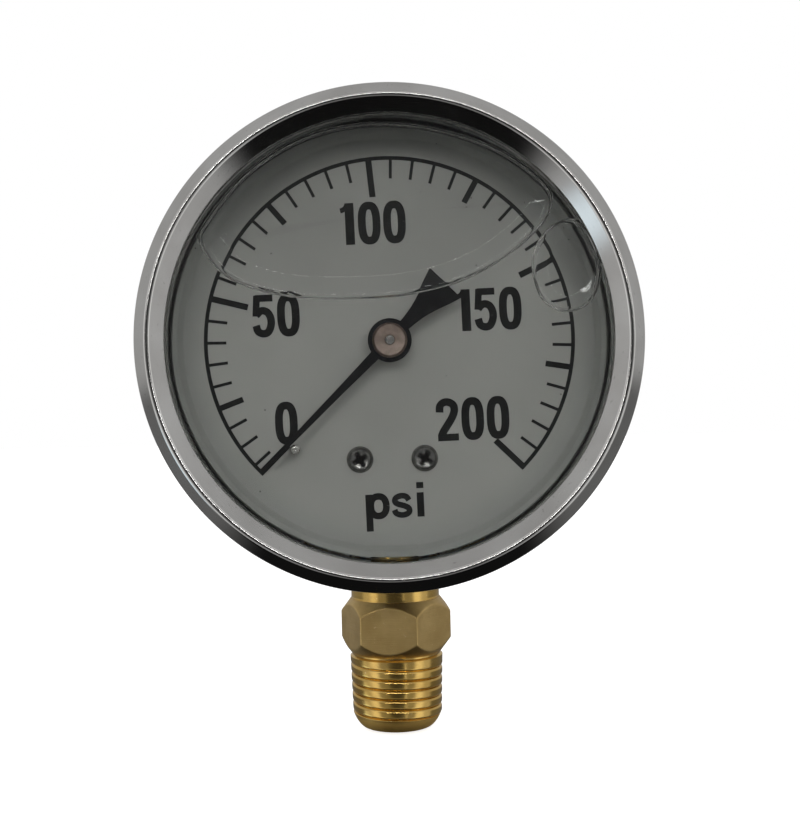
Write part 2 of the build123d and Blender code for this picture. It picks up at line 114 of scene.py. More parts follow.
def turnedAt(profile, centre, axis, count):
    # profile of (radius, height) carried round a line through centre; axis is "y" (height to -Y) or "z"
    profile = np.asarray(profile, float)
    t = np.linspace(0, tau, count, endpoint=False)[:, None]
    across = profile[None, :, 0] * np.sin(t)
    along = profile[None, :, 0] * np.cos(t)
    height = np.broadcast_to(profile[None, :, 1], across.shape)
    if axis == "y":
        return np.stack([centre[0] + across, centre[1] - height, centre[2] + along], axis=-1)
    return np.stack([centre[0] + across, centre[1] + along, centre[2] + height], axis=-1)


def rounded(corners, steps=6, closed=True):
    # polyline of (a, b, radius) corners in which each corner is a tangent arc of its radius
    line = []
    count = len(corners)
    for index, (a, b, radius) in enumerate(corners):
        here = np.array([a, b], float)
        if radius <= 0 or (not closed and index in (0, count - 1)):
            line.append(here)
            continue
        before = np.array(corners[index - 1][:2], float) - here
        after = np.array(corners[(index + 1) % count][:2], float) - here
        u = before / np.linalg.norm(before)
        v = after / np.linalg.norm(after)
        half = math.acos(np.clip(np.dot(u, v), -1, 1)) / 2
        reach = min(radius / math.tan(half), 0.48 * np.linalg.norm(before), 0.48 * np.linalg.norm(after))
        bow = reach * math.tan(half)
        middle = here + (u + v) / np.linalg.norm(u + v) * (bow / math.sin(half))
        start = here + u * reach - middle
        end = here + v * reach - middle
        sweep = math.pi - 2 * half
        for t in np.linspace(0, 1, steps):
            blend = (math.sin((1 - t) * sweep) * start + math.sin(t * sweep) * end) / math.sin(sweep)
            line.append(middle + blend)
    return held(np.array(line), closed)


def held(line, closed, edge=0.07):
    # an extra point close to both ends of every long straight run, so that its shading stays flat
    following = np.roll(line, -1, axis=0) if closed else np.vstack([line[1:], line[-1:]])
    points = []
    for here, ahead in zip(line, following):
        points.append(here)
        run = np.linalg.norm(ahead - here)
        if run > 5 * edge:
            points += [here + (ahead - here) * edge / run, ahead - (ahead - here) * edge / run]
    return np.array(points)


def throughPoints(points, steps, closed=False):
    # smooth curve through points: on each span a cubic whose slopes come from the neighbouring points
    points = np.asarray(points, float)
    if closed:
        p0, p1, p2, p3 = [np.roll(points, shift, axis=0) for shift in (1, 0, -1, -2)]
    else:
        padded = np.vstack([2 * points[0] - points[1], points, 2 * points[-1] - points[-2]])
        p0, p1, p2, p3 = padded[:-3], padded[1:-2], padded[2:-1], padded[3:]
    t = np.linspace(0, 1, steps, endpoint=False)[None, :, None]
    p0, p1, p2, p3 = [p[:, None, :] for p in (p0, p1, p2, p3)]
    curve = 0.5 * (2 * p1 + (p2 - p0) * t + (2 * p0 - 5 * p1 + 4 * p2 - p3) * t ** 2
                   + (3 * p1 - p0 - 3 * p2 + p3) * t ** 3)
    curve = curve.reshape(-1, points.shape[1])
    return curve if closed else np.vstack([curve, points[-1]])


def arc(cx, cz, rx, rz, fromDeg, toDeg, count=24):
    # elliptic arc, angles from +X towards +Z
    t = np.radians(np.linspace(fromDeg, toDeg, count))
    return np.stack([cx + rx * np.cos(t), cz + rz * np.sin(t)], axis=-1)


def joinParts(name, parts, sharp=30):
    # several (verts, faces) parts as one object
    verts, faces, first = [], [], 0
    for partVerts, partFaces in parts:
        verts.append(np.asarray(partVerts).reshape(-1, 3))
        faces += [[first + corner for corner in face] for face in partFaces]
        first += len(verts[-1])
    return makeObject(name, np.vstack(verts), faces, sharp)


def gridPart(points, closeRows=False, closeColumns=False):
    rows, columns = points.shape[:2]
    return points.reshape(-1, 3), gridFaces(rows, columns, closeRows, closeColumns)


# ---------- shader maths ----------

class Wire:
    # a value socket that can be used in sums and products
    def __init__(self, paint, socket):
        self.paint, self.socket = paint, socket

    def calc(self, operation, other=None, flip=False):
        pair = [other, self] if flip else [self, other]
        values = {slot: value for slot, value in enumerate(pair) if value is not None}
        node = self.paint.node("ShaderNodeMath", {"operation": operation}, values)
        return Wire(self.paint, node.outputs[0])

    def __add__(self, other): return self.calc("ADD", other)
    def __radd__(self, other): return self.calc("ADD", other)
    def __sub__(self, other): return self.calc("SUBTRACT", other)
    def __rsub__(self, other): return self.calc("SUBTRACT", other, True)
    def __mul__(self, other): return self.calc("MULTIPLY", other)
    def __rmul__(self, other): return self.calc("MULTIPLY", other)
    def __truediv__(self, other): return self.calc("DIVIDE", other)
    def __rtruediv__(self, other): return self.calc("DIVIDE", other, True)
    def __pow__(self, other): return self.calc("POWER", other)

    def step(self, low, high):
        # 0 below low, 1 above high, smooth between
        node = self.paint.node("ShaderNodeMapRange", {"interpolation_type": "SMOOTHSTEP"},
                               {"Value": self, "From Min": low, "From Max": high})
        return Wire(self.paint, node.outputs[0])


class Paint:
    # one material: its nodes are made through node(), values through Wire
    def __init__(self, name):
        self.material = bpy.data.materials.new(name)
        self.material.use_nodes = True
        self.tree = self.material.node_tree
        self.tree.nodes.clear()
        self.out = self.tree.nodes.new("ShaderNodeOutputMaterial")
        self.objectSocket = None

    def node(self, kind, settings=None, values=None):
        made = self.tree.nodes.new(kind)
        for key, value in (settings or {}).items():
            setattr(made, key, value)
        for key, value in (values or {}).items():
            socket = made.inputs[key]
            if isinstance(value, Wire):
                self.tree.links.new(value.socket, socket)
            elif isinstance(value, bpy.types.NodeSocket):
                self.tree.links.new(value, socket)
            else:
                socket.default_value = value
        return made

    def place(self):
        if self.objectSocket is None:
            self.objectSocket = self.node("ShaderNodeTexCoord").outputs["Object"]
        return self.objectSocket

    def axes(self):
        split = self.node("ShaderNodeSeparateXYZ", values={0: self.place()})
        return [Wire(self, socket) for socket in split.outputs]

    def mapped(self, scale):
        return self.node("ShaderNodeMapping", values={"Vector": self.place(), "Scale": scale}).outputs[0]

    def combine(self, x, y, z):
        return self.node("ShaderNodeCombineXYZ", values={0: x, 1: y, 2: z}).outputs[0]

    def noise(self, scale, detail=3.0, roughness=0.5, vector=None):
        made = self.node("ShaderNodeTexNoise", values={"Vector": vector or self.place(), "Scale": scale,
                                                       "Detail": detail, "Roughness": roughness})
        return Wire(self, made.outputs[0])

    def specks(self, scale, vector=None):
        made = self.node("ShaderNodeTexVoronoi", values={"Vector": vector or self.place(), "Scale": scale})
        return Wire(self, made.outputs[0])

    def blend(self, factor, first, second):
        made = self.node("ShaderNodeMix", {"data_type": "RGBA"})
        for slot, value in ((0, factor), (6, first), (7, second)):
            if isinstance(value, Wire):
                self.tree.links.new(value.socket, made.inputs[slot])
            elif isinstance(value, bpy.types.NodeSocket):
                self.tree.links.new(value, made.inputs[slot])
            elif slot == 0:
                made.inputs[slot].default_value = value
            else:
                made.inputs[slot].default_value = (*value, 1.0)
        return made.outputs[2]

    def bump(self, height, strength, distance):
        return self.node("ShaderNodeBump", values={"Height": height, "Strength": strength,
                                                   "Distance": distance}).outputs[0]

    def finish(self, **values):
        # one Principled shader straight to the output
        names = {key: key.replace("_", " ") for key in values}
        shader = self.node("ShaderNodeBsdfPrincipled", values={names[key]: value for key, value in values.items()})
        self.tree.links.new(shader.outputs[0], self.out.inputs[0])
        return self.material

    def finishClear(self, **values):
        # clear material that lamps shine straight through
        names = {key: key.replace("_", " ") for key in values}
        shader = self.node("ShaderNodeBsdfPrincipled", values={names[key]: value for key, value in values.items()})
        shader.inputs["Transmission Weight"].default_value = 1.0
        path = self.node("ShaderNodeLightPath")
        through = self.node("ShaderNodeBsdfTransparent")
        mixed = self.node("ShaderNodeMixShader", values={0: path.outputs["Is Shadow Ray"], 1: shader.outputs[0],
                                                         2: through.outputs[0]})
        self.tree.links.new(mixed.outputs[0], self.out.inputs[0])
        return self.material


def polar(paint):
    # distance from the gauge axis and angle round it
    x, y, z = paint.axes()
    up = z - gaugeZ * mm
    radius = (x * x + up * up) ** 0.5
    angle = up.calc("ARCTAN2", x)
    return radius, angle, y


# ---------- materials ----------

def steelPaint(name, finish):
    paint = Paint(name)
    radius, angle, y = polar(paint)
    # turning marks: noise that runs round the gauge axis
    ringVector = paint.combine(radius * finish["ringsPerMetre"], y * finish["ringsPerMetre"], angle * 1.2)
    rings = paint.noise(1.0, 4.0, 0.6, ringVector)
    cloud = paint.noise(90.0, 3.0, 0.5)
    smudge = paint.noise(240.0, 4.0, 0.6).step(0.52, 0.78)
    specks = paint.noise(2600.0, 1.0).step(0.70, 0.76)
    colour = paint.blend(cloud.step(0.3, 0.7), finish["dark"], finish["light"])
    colour = paint.blend(specks * finish["wear"], colour, finish["scratch"])
    rough = finish["roughness"] + rings * finish["ringRough"] + smudge * finish["smudge"]
    height = rings + specks * -0.3
    return paint.finish(Base_Color=colour, Metallic=1.0, Roughness=rough,
                        Normal=paint.bump(height, finish["bump"], 0.00002))


def brassPaint(name, finish):
    paint = Paint(name)
    x, y, z = paint.axes()
    # lathe or brush marks lie level: fine along Z, long round the stem
    marks = paint.noise(1.0, 4.0, 0.62, paint.mapped(finish["marks"]))
    fine = paint.noise(1.0, 2.0, 0.5, paint.mapped(finish["fine"]))
    cloud = paint.noise(210.0, 3.0, 0.55)
    pits = paint.noise(1700.0, 2.0).step(0.69, 0.76)
    stain = paint.noise(380.0, 4.0, 0.6).step(0.50, 0.80)
    colour = paint.blend(cloud.step(0.25, 0.75), finish["dark"], finish["light"])
    colour = paint.blend(stain * finish["stain"], colour, finish["tarnish"])
    colour = paint.blend(pits * 0.5, colour, finish["pit"])
    end = z.step(0.0024, 0.0014) * finish["endRough"]     # dull turned chamfer at the stem's end
    rough = finish["roughness"] + marks * finish["markRough"] + stain * 0.08 + end
    height = marks * 0.7 + fine * 0.5 - pits * 0.6
    return paint.finish(Base_Color=colour, Metallic=1.0, Roughness=rough,
                        Normal=paint.bump(height, finish["bump"], 0.00003))


def plainMetalPaint(name, finish):
    paint = Paint(name)
    cloud = paint.noise(finish["scale"], 4.0, 0.6)
    fine = paint.noise(finish["scale"] * 9, 2.0, 0.5)
    colour = paint.blend(cloud.step(0.3, 0.7), finish["dark"], finish["light"])
    rough = finish["roughness"] + cloud * 0.12 + fine * 0.06
    return paint.finish(Base_Color=colour, Metallic=1.0, Roughness=rough,
                        Normal=paint.bump(cloud + fine * 0.5, finish["bump"], 0.00003))


def rubberPaint(name):
    paint = Paint(name)
    grain = paint.noise(1500.0, 3.0, 0.6)
    cloud = paint.noise(160.0, 2.0)
    colour = paint.blend(cloud.step(0.3, 0.7), (0.012, 0.012, 0.012), (0.028, 0.027, 0.026))
    return paint.finish(Base_Color=colour, Roughness=0.62 + grain * 0.18,
                        Normal=paint.bump(grain, 0.25, 0.00005))


def enamelPaint(name, finish):
    # matt dial paint: faint mottling, a few specks of dust, and painted shade that darkens it towards the rim where
    # the bezel lip and case wall overhang it
    paint = Paint(name)
    radius, angle, y = polar(paint)
    cloud = paint.noise(60.0, 3.0, 0.5)
    grain = paint.noise(3200.0, 2.0, 0.6)
    dust = paint.specks(330.0).step(0.045, 0.03)
    # painted shade: from 24 mm out the dial is blended towards the darker rim colour, standing in for the shade of
    # the bezel lip and case wall
    edge = radius.step(0.024, 0.0305)
    colour = paint.blend(cloud.step(0.25, 0.75), finish["dark"], finish["light"])
    colour = paint.blend(edge * finish["edge"], colour, finish["rim"])
    colour = paint.blend(dust * finish["dust"], colour, (0.05, 0.05, 0.045))
    return paint.finish(Base_Color=colour, Roughness=0.50 + grain * 0.12, Specular_IOR_Level=0.08,
                        Normal=paint.bump(grain, 0.10, 0.00002))


def inkPaint(name, finish):
    paint = Paint(name)
    cloud = paint.noise(420.0, 3.0, 0.6)
    grain = paint.noise(5200.0, 2.0)
    colour = paint.blend(cloud.step(0.3, 0.7), finish["dark"], finish["light"])
    return paint.finish(Base_Color=colour, Roughness=finish["roughness"] + grain * 0.14, Specular_IOR_Level=0.12,
                        Normal=paint.bump(grain, 0.12, 0.00001))


def clearPaint(name, finish):
    # clear solid with the faintest haze of handling on it
    paint = Paint(name)
    haze = paint.noise(150.0, 4.0, 0.6).step(0.62, 0.9)
    return paint.finishClear(Base_Color=(*finish["tint"], 1.0), IOR=finish["ior"], Roughness=haze * finish["haze"])


steelFinish = {"dark": (0.50, 0.49, 0.475), "light": (0.60, 0.595, 0.58), "scratch": (0.34, 0.33, 0.32),
               "ringsPerMetre": 5200.0, "ringRough": 0.05, "smudge": 0.06, "roughness": 0.085,
               "wear": 0.5, "bump": 0.03}
caseFinish = {"dark": (0.44, 0.435, 0.425), "light": (0.56, 0.555, 0.545), "scratch": (0.30, 0.295, 0.29),
              "ringsPerMetre": 3600.0, "ringRough": 0.10, "smudge": 0.10, "roughness": 0.24,
              "wear": 0.4, "bump": 0.06}
hexFinish = {"dark": (0.52, 0.355, 0.135), "light": (0.66, 0.475, 0.20), "tarnish": (0.33, 0.23, 0.11),
             "pit": (0.70, 0.55, 0.30), "marks": (160.0, 160.0, 5200.0), "fine": (700.0, 700.0, 15000.0),
             "stain": 0.45, "roughness": 0.30, "markRough": 0.20, "bump": 0.95, "endRough": 0.0}
threadFinish = {"dark": (0.60, 0.385, 0.105), "light": (0.74, 0.50, 0.155), "tarnish": (0.42, 0.25, 0.09),
                "pit": (0.85, 0.65, 0.35), "marks": (90.0, 90.0, 3600.0), "fine": (300.0, 300.0, 9000.0),
                "stain": 0.35, "roughness": 0.10, "markRough": 0.14, "bump": 0.18, "endRough": 0.42}

paints = {
    "bezelSteel": steelPaint("bezelSteel", steelFinish),
    "caseSteel": steelPaint("caseSteel", caseFinish),
    "hexBrass": brassPaint("hexBrass", hexFinish),
    "threadBrass": brassPaint("threadBrass", threadFinish),
    "movementBrass": plainMetalPaint("movementBrass", {"scale": 420.0, "dark": (0.58, 0.42, 0.17),
                                     "light": (0.74, 0.57, 0.27), "roughness": 0.20, "bump": 0.2}),
    "tubeBronze": plainMetalPaint("tubeBronze", {"scale": 300.0, "dark": (0.48, 0.27, 0.13),
                                  "light": (0.62, 0.38, 0.20), "roughness": 0.25, "bump": 0.2}),
    "zincScrew": plainMetalPaint("zincScrew", {"scale": 700.0, "dark": (0.42, 0.42, 0.41),
                                 "light": (0.60, 0.60, 0.58), "roughness": 0.22, "bump": 0.2}),
    "pinSteel": plainMetalPaint("pinSteel", {"scale": 900.0, "dark": (0.50, 0.49, 0.47),
                                "light": (0.66, 0.65, 0.62), "roughness": 0.18, "bump": 0.15}),
    "darkScrew": plainMetalPaint("darkScrew", {"scale": 1300.0, "dark": (0.16, 0.158, 0.152),
                                 "light": (0.34, 0.335, 0.325), "roughness": 0.10, "bump": 0.2}),
    "bushMetal": plainMetalPaint("bushMetal", {"scale": 700.0, "dark": (0.23, 0.175, 0.145),
                                 "light": (0.34, 0.275, 0.235), "roughness": 0.30, "bump": 0.3}),
    "blackRubber": rubberPaint("blackRubber"),
    # painted shade: the dial's white enamel is given as a grey, darker than the real dial, standing in for how dimly
    # it is lit behind the window; its rim colour is the painted shade near the bezel
    "dialEnamel": enamelPaint("dialEnamel", {"dark": (0.415, 0.417, 0.388), "light": (0.465, 0.467, 0.437),
                              "rim": (0.26, 0.275, 0.26), "edge": 0.5, "dust": 0.8}),
    "dialInk": inkPaint("dialInk", {"dark": (0.004, 0.004, 0.004), "light": (0.011, 0.011, 0.011),
                        "roughness": 0.42}),
    "pointerPaint": inkPaint("pointerPaint", {"dark": (0.004, 0.004, 0.005), "light": (0.010, 0.010, 0.011),
                             "roughness": 0.30}),
    "windowClear": clearPaint("windowClear", {"tint": (1.0, 1.0, 1.0), "ior": 1.49, "haze": 0.02}),
    "liquidClear": clearPaint("liquidClear", {"tint": (0.97, 0.985, 0.97), "ior": 1.47, "haze": 0.0}),
    "airBubble": clearPaint("airBubble", {"tint": (1.0, 1.0, 1.0), "ior": 1.0 / 1.47, "haze": 0.0}),
}
print("materials", len(paints))


def dress(piece, paint, body, slot, *nodes):
    # gives a new piece its finish and its body, and hides the CAD nodes that it stands for
    piece.data.materials.append(paints[paint])
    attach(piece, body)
    if nodes:
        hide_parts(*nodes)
    return piece


# ---------- bezel, window, gasket, case ----------

bezelShape = {"lipR": 30.1, "lipFront": -18.4, "crestR": 32.15, "sheet": 0.75, "crestRound": 0.62, "count": 360}


def buildBezel():
    s = bezelShape
    crest, rear, outer = bezelLow[1], bezelHigh[1], bezelHigh[2] - gaugeZ
    corners = [
        (s["lipR"], s["lipFront"], 0.16),
        (s["crestR"], crest - 0.14, s["crestRound"]),
        (outer - 0.12, crest + 2.10, 0.7),
        (outer, crest + 3.2, 0.4),
        (outer, rear - 0.02, 0.85),
        (s["crestR"] - 0.15, rear, 0.1),
        (s["crestR"] - 0.15, rear - s["sheet"], 0.1),
        (outer - s["sheet"], rear - s["sheet"] - 0.05, 0.4),
        (outer - s["sheet"], crest + 3.0, 0.4),
        (s["crestR"] + 0.05, crest + 1.05, 0.3),
        (s["lipR"] + 0.45, windowLow[1] - 0.02, 0.1),
        (s["lipR"], windowLow[1] - 0.02, 0.16),
    ]
    ring = turnedY(rounded(corners, 8), s["count"])
    piece = gridObject("bezelRing", ring, True, True, 40)
    return dress(piece, "bezelSteel", "case", "bezel_steel", "bezel_ring")


def buildWindow():
    # flat pane with a small bevel on both rims
    r = windowHigh[2] - gaugeZ
    front, back = windowLow[1], windowHigh[1]
    corners = [(0, front, 0), (r, front, 0.25), (r, back, 0.3), (0, back, 0)]
    piece = gridObject("windowPane", turnedY(rounded(corners, 5, False), 256), True, False, 30)
    return dress(piece, "windowClear", "case", "window_clear", "window")


caseShape = {"radius": 31.3, "wall": 0.8, "corner": 3.0, "backRing": 24.5, "backStep": 0.35}
gasketShape = {"inner": 31.0, "edge": 0.2, "room": 0.05}


def buildCase():
    # drawn cup: flange, side wall, rounded corner, flat back with a shallow pressed ring
    s = caseShape
    front, back = caseLow[1], caseHigh[1]
    flange = caseHigh[2] - gaugeZ
    r = s["radius"]
    corners = [
        (0, back, 0), (s["backRing"] - 0.5, back, 0.3), (s["backRing"], back - s["backStep"], 0.3),
        (s["backRing"] + 1.2, back - s["backStep"], 0.3), (s["backRing"] + 1.7, back, 0.3),
        (r, back, s["corner"]), (r, front + 0.8, 0.4), (flange, front + 0.8, 0.15), (flange, front, 0.15),
        (r - s["wall"], front, 0.5), (r - s["wall"], back - s["wall"], s["corner"] - s["wall"]),
        (0, back - s["wall"], 0),
    ]
    piece = gridObject("caseCup", turnedY(rounded(corners, 8, False), 300), True, False, 35)
    return dress(piece, "caseSteel", "case", "case_steel", "case_shell")


def buildGasket():
    # flat ring between the window and the case flange
    s = gasketShape
    inner, outer, edge = s["inner"], windowHigh[2] - gaugeZ - s["room"], s["edge"]
    front, back = windowBack + 0.01, caseLow[1] - 0.01
    corners = [(inner, front, edge), (outer, front, edge), (outer, back, edge), (inner, back, edge)]
    piece = gridObject("windowGasket", turnedY(rounded(corners, 5), 200), True, True, 40)
    return dress(piece, "blackRubber", "case", "black_rubber", "window_gasket")


def buildPlug():
    # rubber stopper with a raised nipple
    x, y = (plugLow[0] + plugHigh[0]) / 2, (plugLow[1] + plugHigh[1]) / 2
    flange = (plugHigh[0] - plugLow[0]) / 2
    top = plugHigh[2]
    seat = top - 2.1
    corners = [(0, seat - 1.9, 0), (3.4, seat - 1.9, 0.3), (4.35, seat - 1.2, 0.2), (3.85, seat - 0.7, 0.2),
               (3.85, seat + 0.3, 0.2), (flange, seat + 0.3, 0.3), (flange, seat + 1.45, 0.55),
               (2.9, seat + 1.55, 0.3), (2.4, seat + 1.3, 0.3), (1.5, seat + 1.3, 0.2), (1.3, top, 0.25), (0, top, 0)]
    piece = gridObject("fillPlug", turnedAt(rounded(corners, 6, False), (x, y, 0), "z", 96), True, False, 40)
    return dress(piece, "blackRubber", "case", "black_rubber", "fill_plug")


buildBezel()
buildWindow()
buildCase()
buildGasket()
buildPlug()
print("head built")


# ---------- liquid and bubbles ----------

liquidShape = {"gap": 0.03, "radius": 30.42, "backRoom": 0.5}
# outlines in millimetres from the gauge axis, as a bubble lies against the window
bigBubble = {"outline": [(-24.9, 16.4), (-25.6, 13.6), (-22.6, 9.4), (-18.0, 7.1), (-12.4, 5.9), (-5.0, 5.6),
                         (2.0, 5.9), (8.5, 7.2), (14.0, 9.6), (18.8, 12.9), (22.3, 17.0), (21.8, 20.8),
                         (15.5, 25.6), (7.0, 28.6), (-2.0, 29.6), (-11.0, 27.9), (-19.0, 23.2)],
             "wall": 3.7, "bulge": 0.72, "centre": (-1.0, 17.5)}
smallBubble = {"outline": [(19.6, 10.6), (20.6, 5.4), (24.0, 3.2), (27.6, 4.6), (29.0, 8.4), (28.4, 12.8),
                           (25.6, 15.9), (21.8, 14.6)],
               "wall": 2.7, "bulge": 0.75, "centre": (24.6, 9.3)}
bubbleRamp = {"levelOff": 0.6, "slopes": (0.31, 0.27, 0.0)}      # slope at the bulge, near the floor, at the floor


def buildLiquid():
    # everything between window and case back, as one closed turned body just inside its container
    s = liquidShape
    front = windowBack + s["gap"]
    back = caseHigh[1] - caseShape["wall"] - s["backRoom"]
    corners = [(0, front, 0), (s["radius"], front, 0.1), (s["radius"], back, 2.0), (0, back, 0)]
    piece = gridObject("glycerineFill", turnedY(rounded(corners, 6, False), 256), True, False, 30)
    return dress(piece, "liquidClear", "case", "window_clear")


def buildBubble(name, shape):
    # closed pocket: flat where it touches the window, a half-round wall that bulges out to the outline,
    # a ramp that flattens out, then a level floor; rows run round the outline, columns from top to floor
    outline = throughPoints(shape["outline"], 16, True)
    ahead = np.roll(outline, -1, axis=0) - np.roll(outline, 1, axis=0)
    inward = np.stack([-ahead[:, 1], ahead[:, 0]], axis=-1)
    inward /= np.linalg.norm(inward, axis=1)[:, None]
    turn = np.sum(outline[:, 0] * np.roll(outline[:, 1], -1) - np.roll(outline[:, 0], -1) * outline[:, 1])
    inward *= np.sign(turn)
    middle = np.array(shape["centre"])
    top = windowBack + liquidShape["gap"] * 2
    bulge = shape["bulge"]
    turnOver = np.radians(np.linspace(-88, 90, 26))
    level = bubbleRamp["levelOff"]
    beyond = np.concatenate([np.linspace(bulge, shape["wall"] - level, 8)[1:],
                             np.linspace(shape["wall"] - level, shape["wall"], 10)[1:]])
    slope = np.interp(beyond, [bulge, shape["wall"] - level, shape["wall"]], bubbleRamp["slopes"])
    steps = np.concatenate([bulge * (1 - np.cos(turnOver)), beyond])
    ramp = 2 * bulge + np.cumsum(slope * np.diff(np.concatenate([[bulge], beyond])))
    depth = np.concatenate([bulge * (1 + np.sin(turnOver)), ramp])
    contact = outline + inward * bulge
    columns = [(middle + (contact - middle) * share, top) for share in (0.0, 0.5, 0.97)]    # flat top
    columns += [(outline + inward * step, top + deep) for step, deep in zip(steps, depth)]
    rim = outline + inward * shape["wall"]
    columns += [(rim + (middle - rim) * share, top + depth[-1] + 0.02 * share) for share in (0.25, 0.5, 0.75, 1.0)]
    grid = np.stack([np.column_stack([gaugeX + flat[:, 0], np.full(len(flat), y), gaugeZ + flat[:, 1]])
                     for flat, y in columns], axis=1)
    piece = gridObject(name, grid, True, False, 40)
    return dress(piece, "airBubble", "case", "window_clear")


buildLiquid()
buildBubble("largeBubble", bigBubble)
buildBubble("smallBubble", smallBubble)
print("liquid and bubbles built")


# ---------- dial ----------

dialShape = {"hole": 1.9, "notchWide": 6.5, "notchDeep": 0.15, "count": 720}
dialPrint = {"ink": 0.035, "arcR": 25.5, "arcWide": 0.53, "zeroAngle": 45.5, "endAngle": 314.5,
           "perPsi": 1.4, "angleAtZero": 34.5, "fullScale": 200}
tickKinds = {"thin": (22.65, 0.42), "middle": (21.9, 0.80), "long": (20.2, 0.86)}


def onDial(angle, r):
    # angle clockwise from straight down
    t = np.radians(angle)
    return gaugeX - r * np.sin(t), gaugeZ - r * np.cos(t)


def buildDial():
    # sheet disc with a turned-up rim; the rim's radius dips inwards at the two edge notches
    s = dialShape
    r = dialHigh[0] - gaugeX
    front, back, rimFront = dialFace, dialHigh[1], dialLow[1]
    corners = [(s["hole"], back, 0), (s["hole"], front, 0.08), (r - 1.6, front, 0.4), (r - 0.85, rimFront + 0.3, 0.4),
               (r - 0.1, rimFront, 0.2), (r, rimFront + 0.3, 0.15), (r, back, 0.1)]
    profile = rounded(corners, 6)
    t = np.linspace(0, tau, s["count"], endpoint=False)[:, None]
    inNotch = np.abs(np.sin(t)) * r < s["notchWide"] / 2
    radius = profile[None, :, 0] - np.where(inNotch & (profile[None, :, 0] > r - 3), s["notchDeep"], 0.0)
    x = gaugeX + radius * np.sin(t)
    z = gaugeZ + radius * np.cos(t)
    y = np.broadcast_to(profile[None, :, 1], x.shape)
    piece = gridObject("dialPlate", np.stack([x, y, z], axis=-1), True, True, 40)
    return dress(piece, "dialEnamel", "case", "dial_white", "dial")


def ribbon(path, width, front):
    # flat strip of ink along a path in the dial plane: two edges at half the width, given a small thickness
    path = np.asarray(path, float)
    slope = np.gradient(path, axis=0)
    side = np.stack([-slope[:, 1], slope[:, 0]], axis=-1)
    side /= np.linalg.norm(side, axis=1)[:, None]
    width = np.broadcast_to(np.asarray(width, float), (len(path),))[:, None]
    left, right = path + side * width / 2, path - side * width / 2
    back = front + dialPrint["ink"]
    loop = [np.column_stack([edge[:, 0], np.full(len(path), y), edge[:, 1]])
            for edge, y in ((left, front), (right, front), (right, back), (left, back))]
    points = np.stack(loop, axis=1)
    verts, faces = gridPart(points, False, True)
    last = (len(path) - 1) * 4
    return verts, faces + [[0, 1, 2, 3], [last + 3, last + 2, last + 1, last]]


def buildScale():
    s = dialPrint
    front = dialFace - s["ink"]
    parts = []
    half = math.degrees(tickKinds["long"][1] / 2 / s["arcR"])
    sweep = np.linspace(s["zeroAngle"] - half, s["endAngle"] + half, 240)
    parts.append(ribbon(np.column_stack(onDial(sweep, s["arcR"])), s["arcWide"], front))
    marks = [(s["zeroAngle"], "long")]
    for psi in range(10, s["fullScale"] + 1, 5):
        kind = "long" if psi % 50 == 0 else "middle" if psi % 25 == 0 else "thin"
        marks.append((s["angleAtZero"] + s["perPsi"] * psi, kind))
    for index, (angle, kind) in enumerate(marks):
        inner, wide = tickKinds[kind]
        path = np.column_stack(onDial(np.full(4, angle), np.linspace(inner, s["arcR"], 4)))
        parts.append(ribbon(path, wide, front - 0.002 * (1 + index % 2)))
    piece = joinParts("scaleMarks", parts, 40)
    return dress(piece, "dialInk", "case", "pointer_black")


def superLoop(rx, rz, power, count=56):
    # closed loop |x/rx|^p + |z/rz|^p = 1
    t = np.linspace(0, tau, count)
    c, s = np.cos(t), np.sin(t)
    return np.stack([rx * np.sign(c) * np.abs(c) ** (2 / power), rz * np.sign(s) * np.abs(s) ** (2 / power)], axis=-1)


# each sign is a list of (path, stroke width); heights in millimetres about the sign's middle
def signStrokes(sign):
    if sign == "0":
        return [(superLoop(1.02, 2.44, 2.7), 0.98)]
    if sign == "1":
        return [([(0.42, -2.9), (0.42, 2.9)], 1.12), (arc(-1.05, 2.9, 1.2, 1.05, -80, -8, 10), 0.62)]
    if sign == "5":
        bowl = throughPoints([(-1.00, 0.12), (-0.30, 0.72), (0.52, 0.56), (1.00, -0.25), (1.02, -1.30),
                              (0.60, -2.22), (-0.10, -2.44), (-0.78, -2.10), (-1.04, -1.28)], 6)
        return [([(-1.05, 2.47), (1.38, 2.47)], 0.86), ([(-0.80, 2.86), (-1.02, -0.02)], 0.84), (bowl, 0.94)]
    if sign == "2":
        hook = throughPoints([(-1.06, 1.05), (-0.96, 1.95), (-0.40, 2.42), (0.30, 2.40), (0.90, 1.95), (0.98, 1.15),
                              (0.60, 0.20), (-0.10, -0.85), (-0.72, -1.80), (-0.92, -2.45)], 6)
        return [(hook, 0.96), ([(-1.42, -2.46), (1.48, -2.46)], 0.88)]
    if sign == "p":
        bowl = superLoop(1.08, 1.36, 2.3, 40) + np.array([0.22, 1.72])
        return [([(-1.08, -1.75), (-1.08, 3.38)], 0.86), (bowl, 0.84)]
    if sign == "s":
        curve = throughPoints([(0.98, 2.36), (0.62, 2.88), (-0.10, 3.02), (-0.82, 2.76), (-0.98, 2.24), (-0.50, 1.86),
                               (0.30, 1.62), (0.92, 1.24), (0.96, 0.76), (0.50, 0.42), (-0.20, 0.36), (-0.86, 0.62),
                               (-1.08, 1.10)], 5)
        return [(curve, 0.72)]
    if sign == "i":
        return [([(0, 0), (0, 3.38)], 0.88), ([(0, 3.96), (0, 4.80)], 0.88)]
    return []


dialWriting = {
    "tilt": 1.4, "heavy": 1.12,
    "numbers": [("0", -14.6, -11.1), ("50", -15.7, 3.85), ("100", -2.1, 16.5), ("150", 13.75, 4.1),
                ("200", 11.3, -11.05)],
    "step": {"0": 3.52, "1": 2.75, "5": 3.45, "2": 3.5},
    "unit": [("p", -2.45), ("s", 1.05), ("i", 3.62)], "unitX": 0.2, "unitZ": -24.6,
}


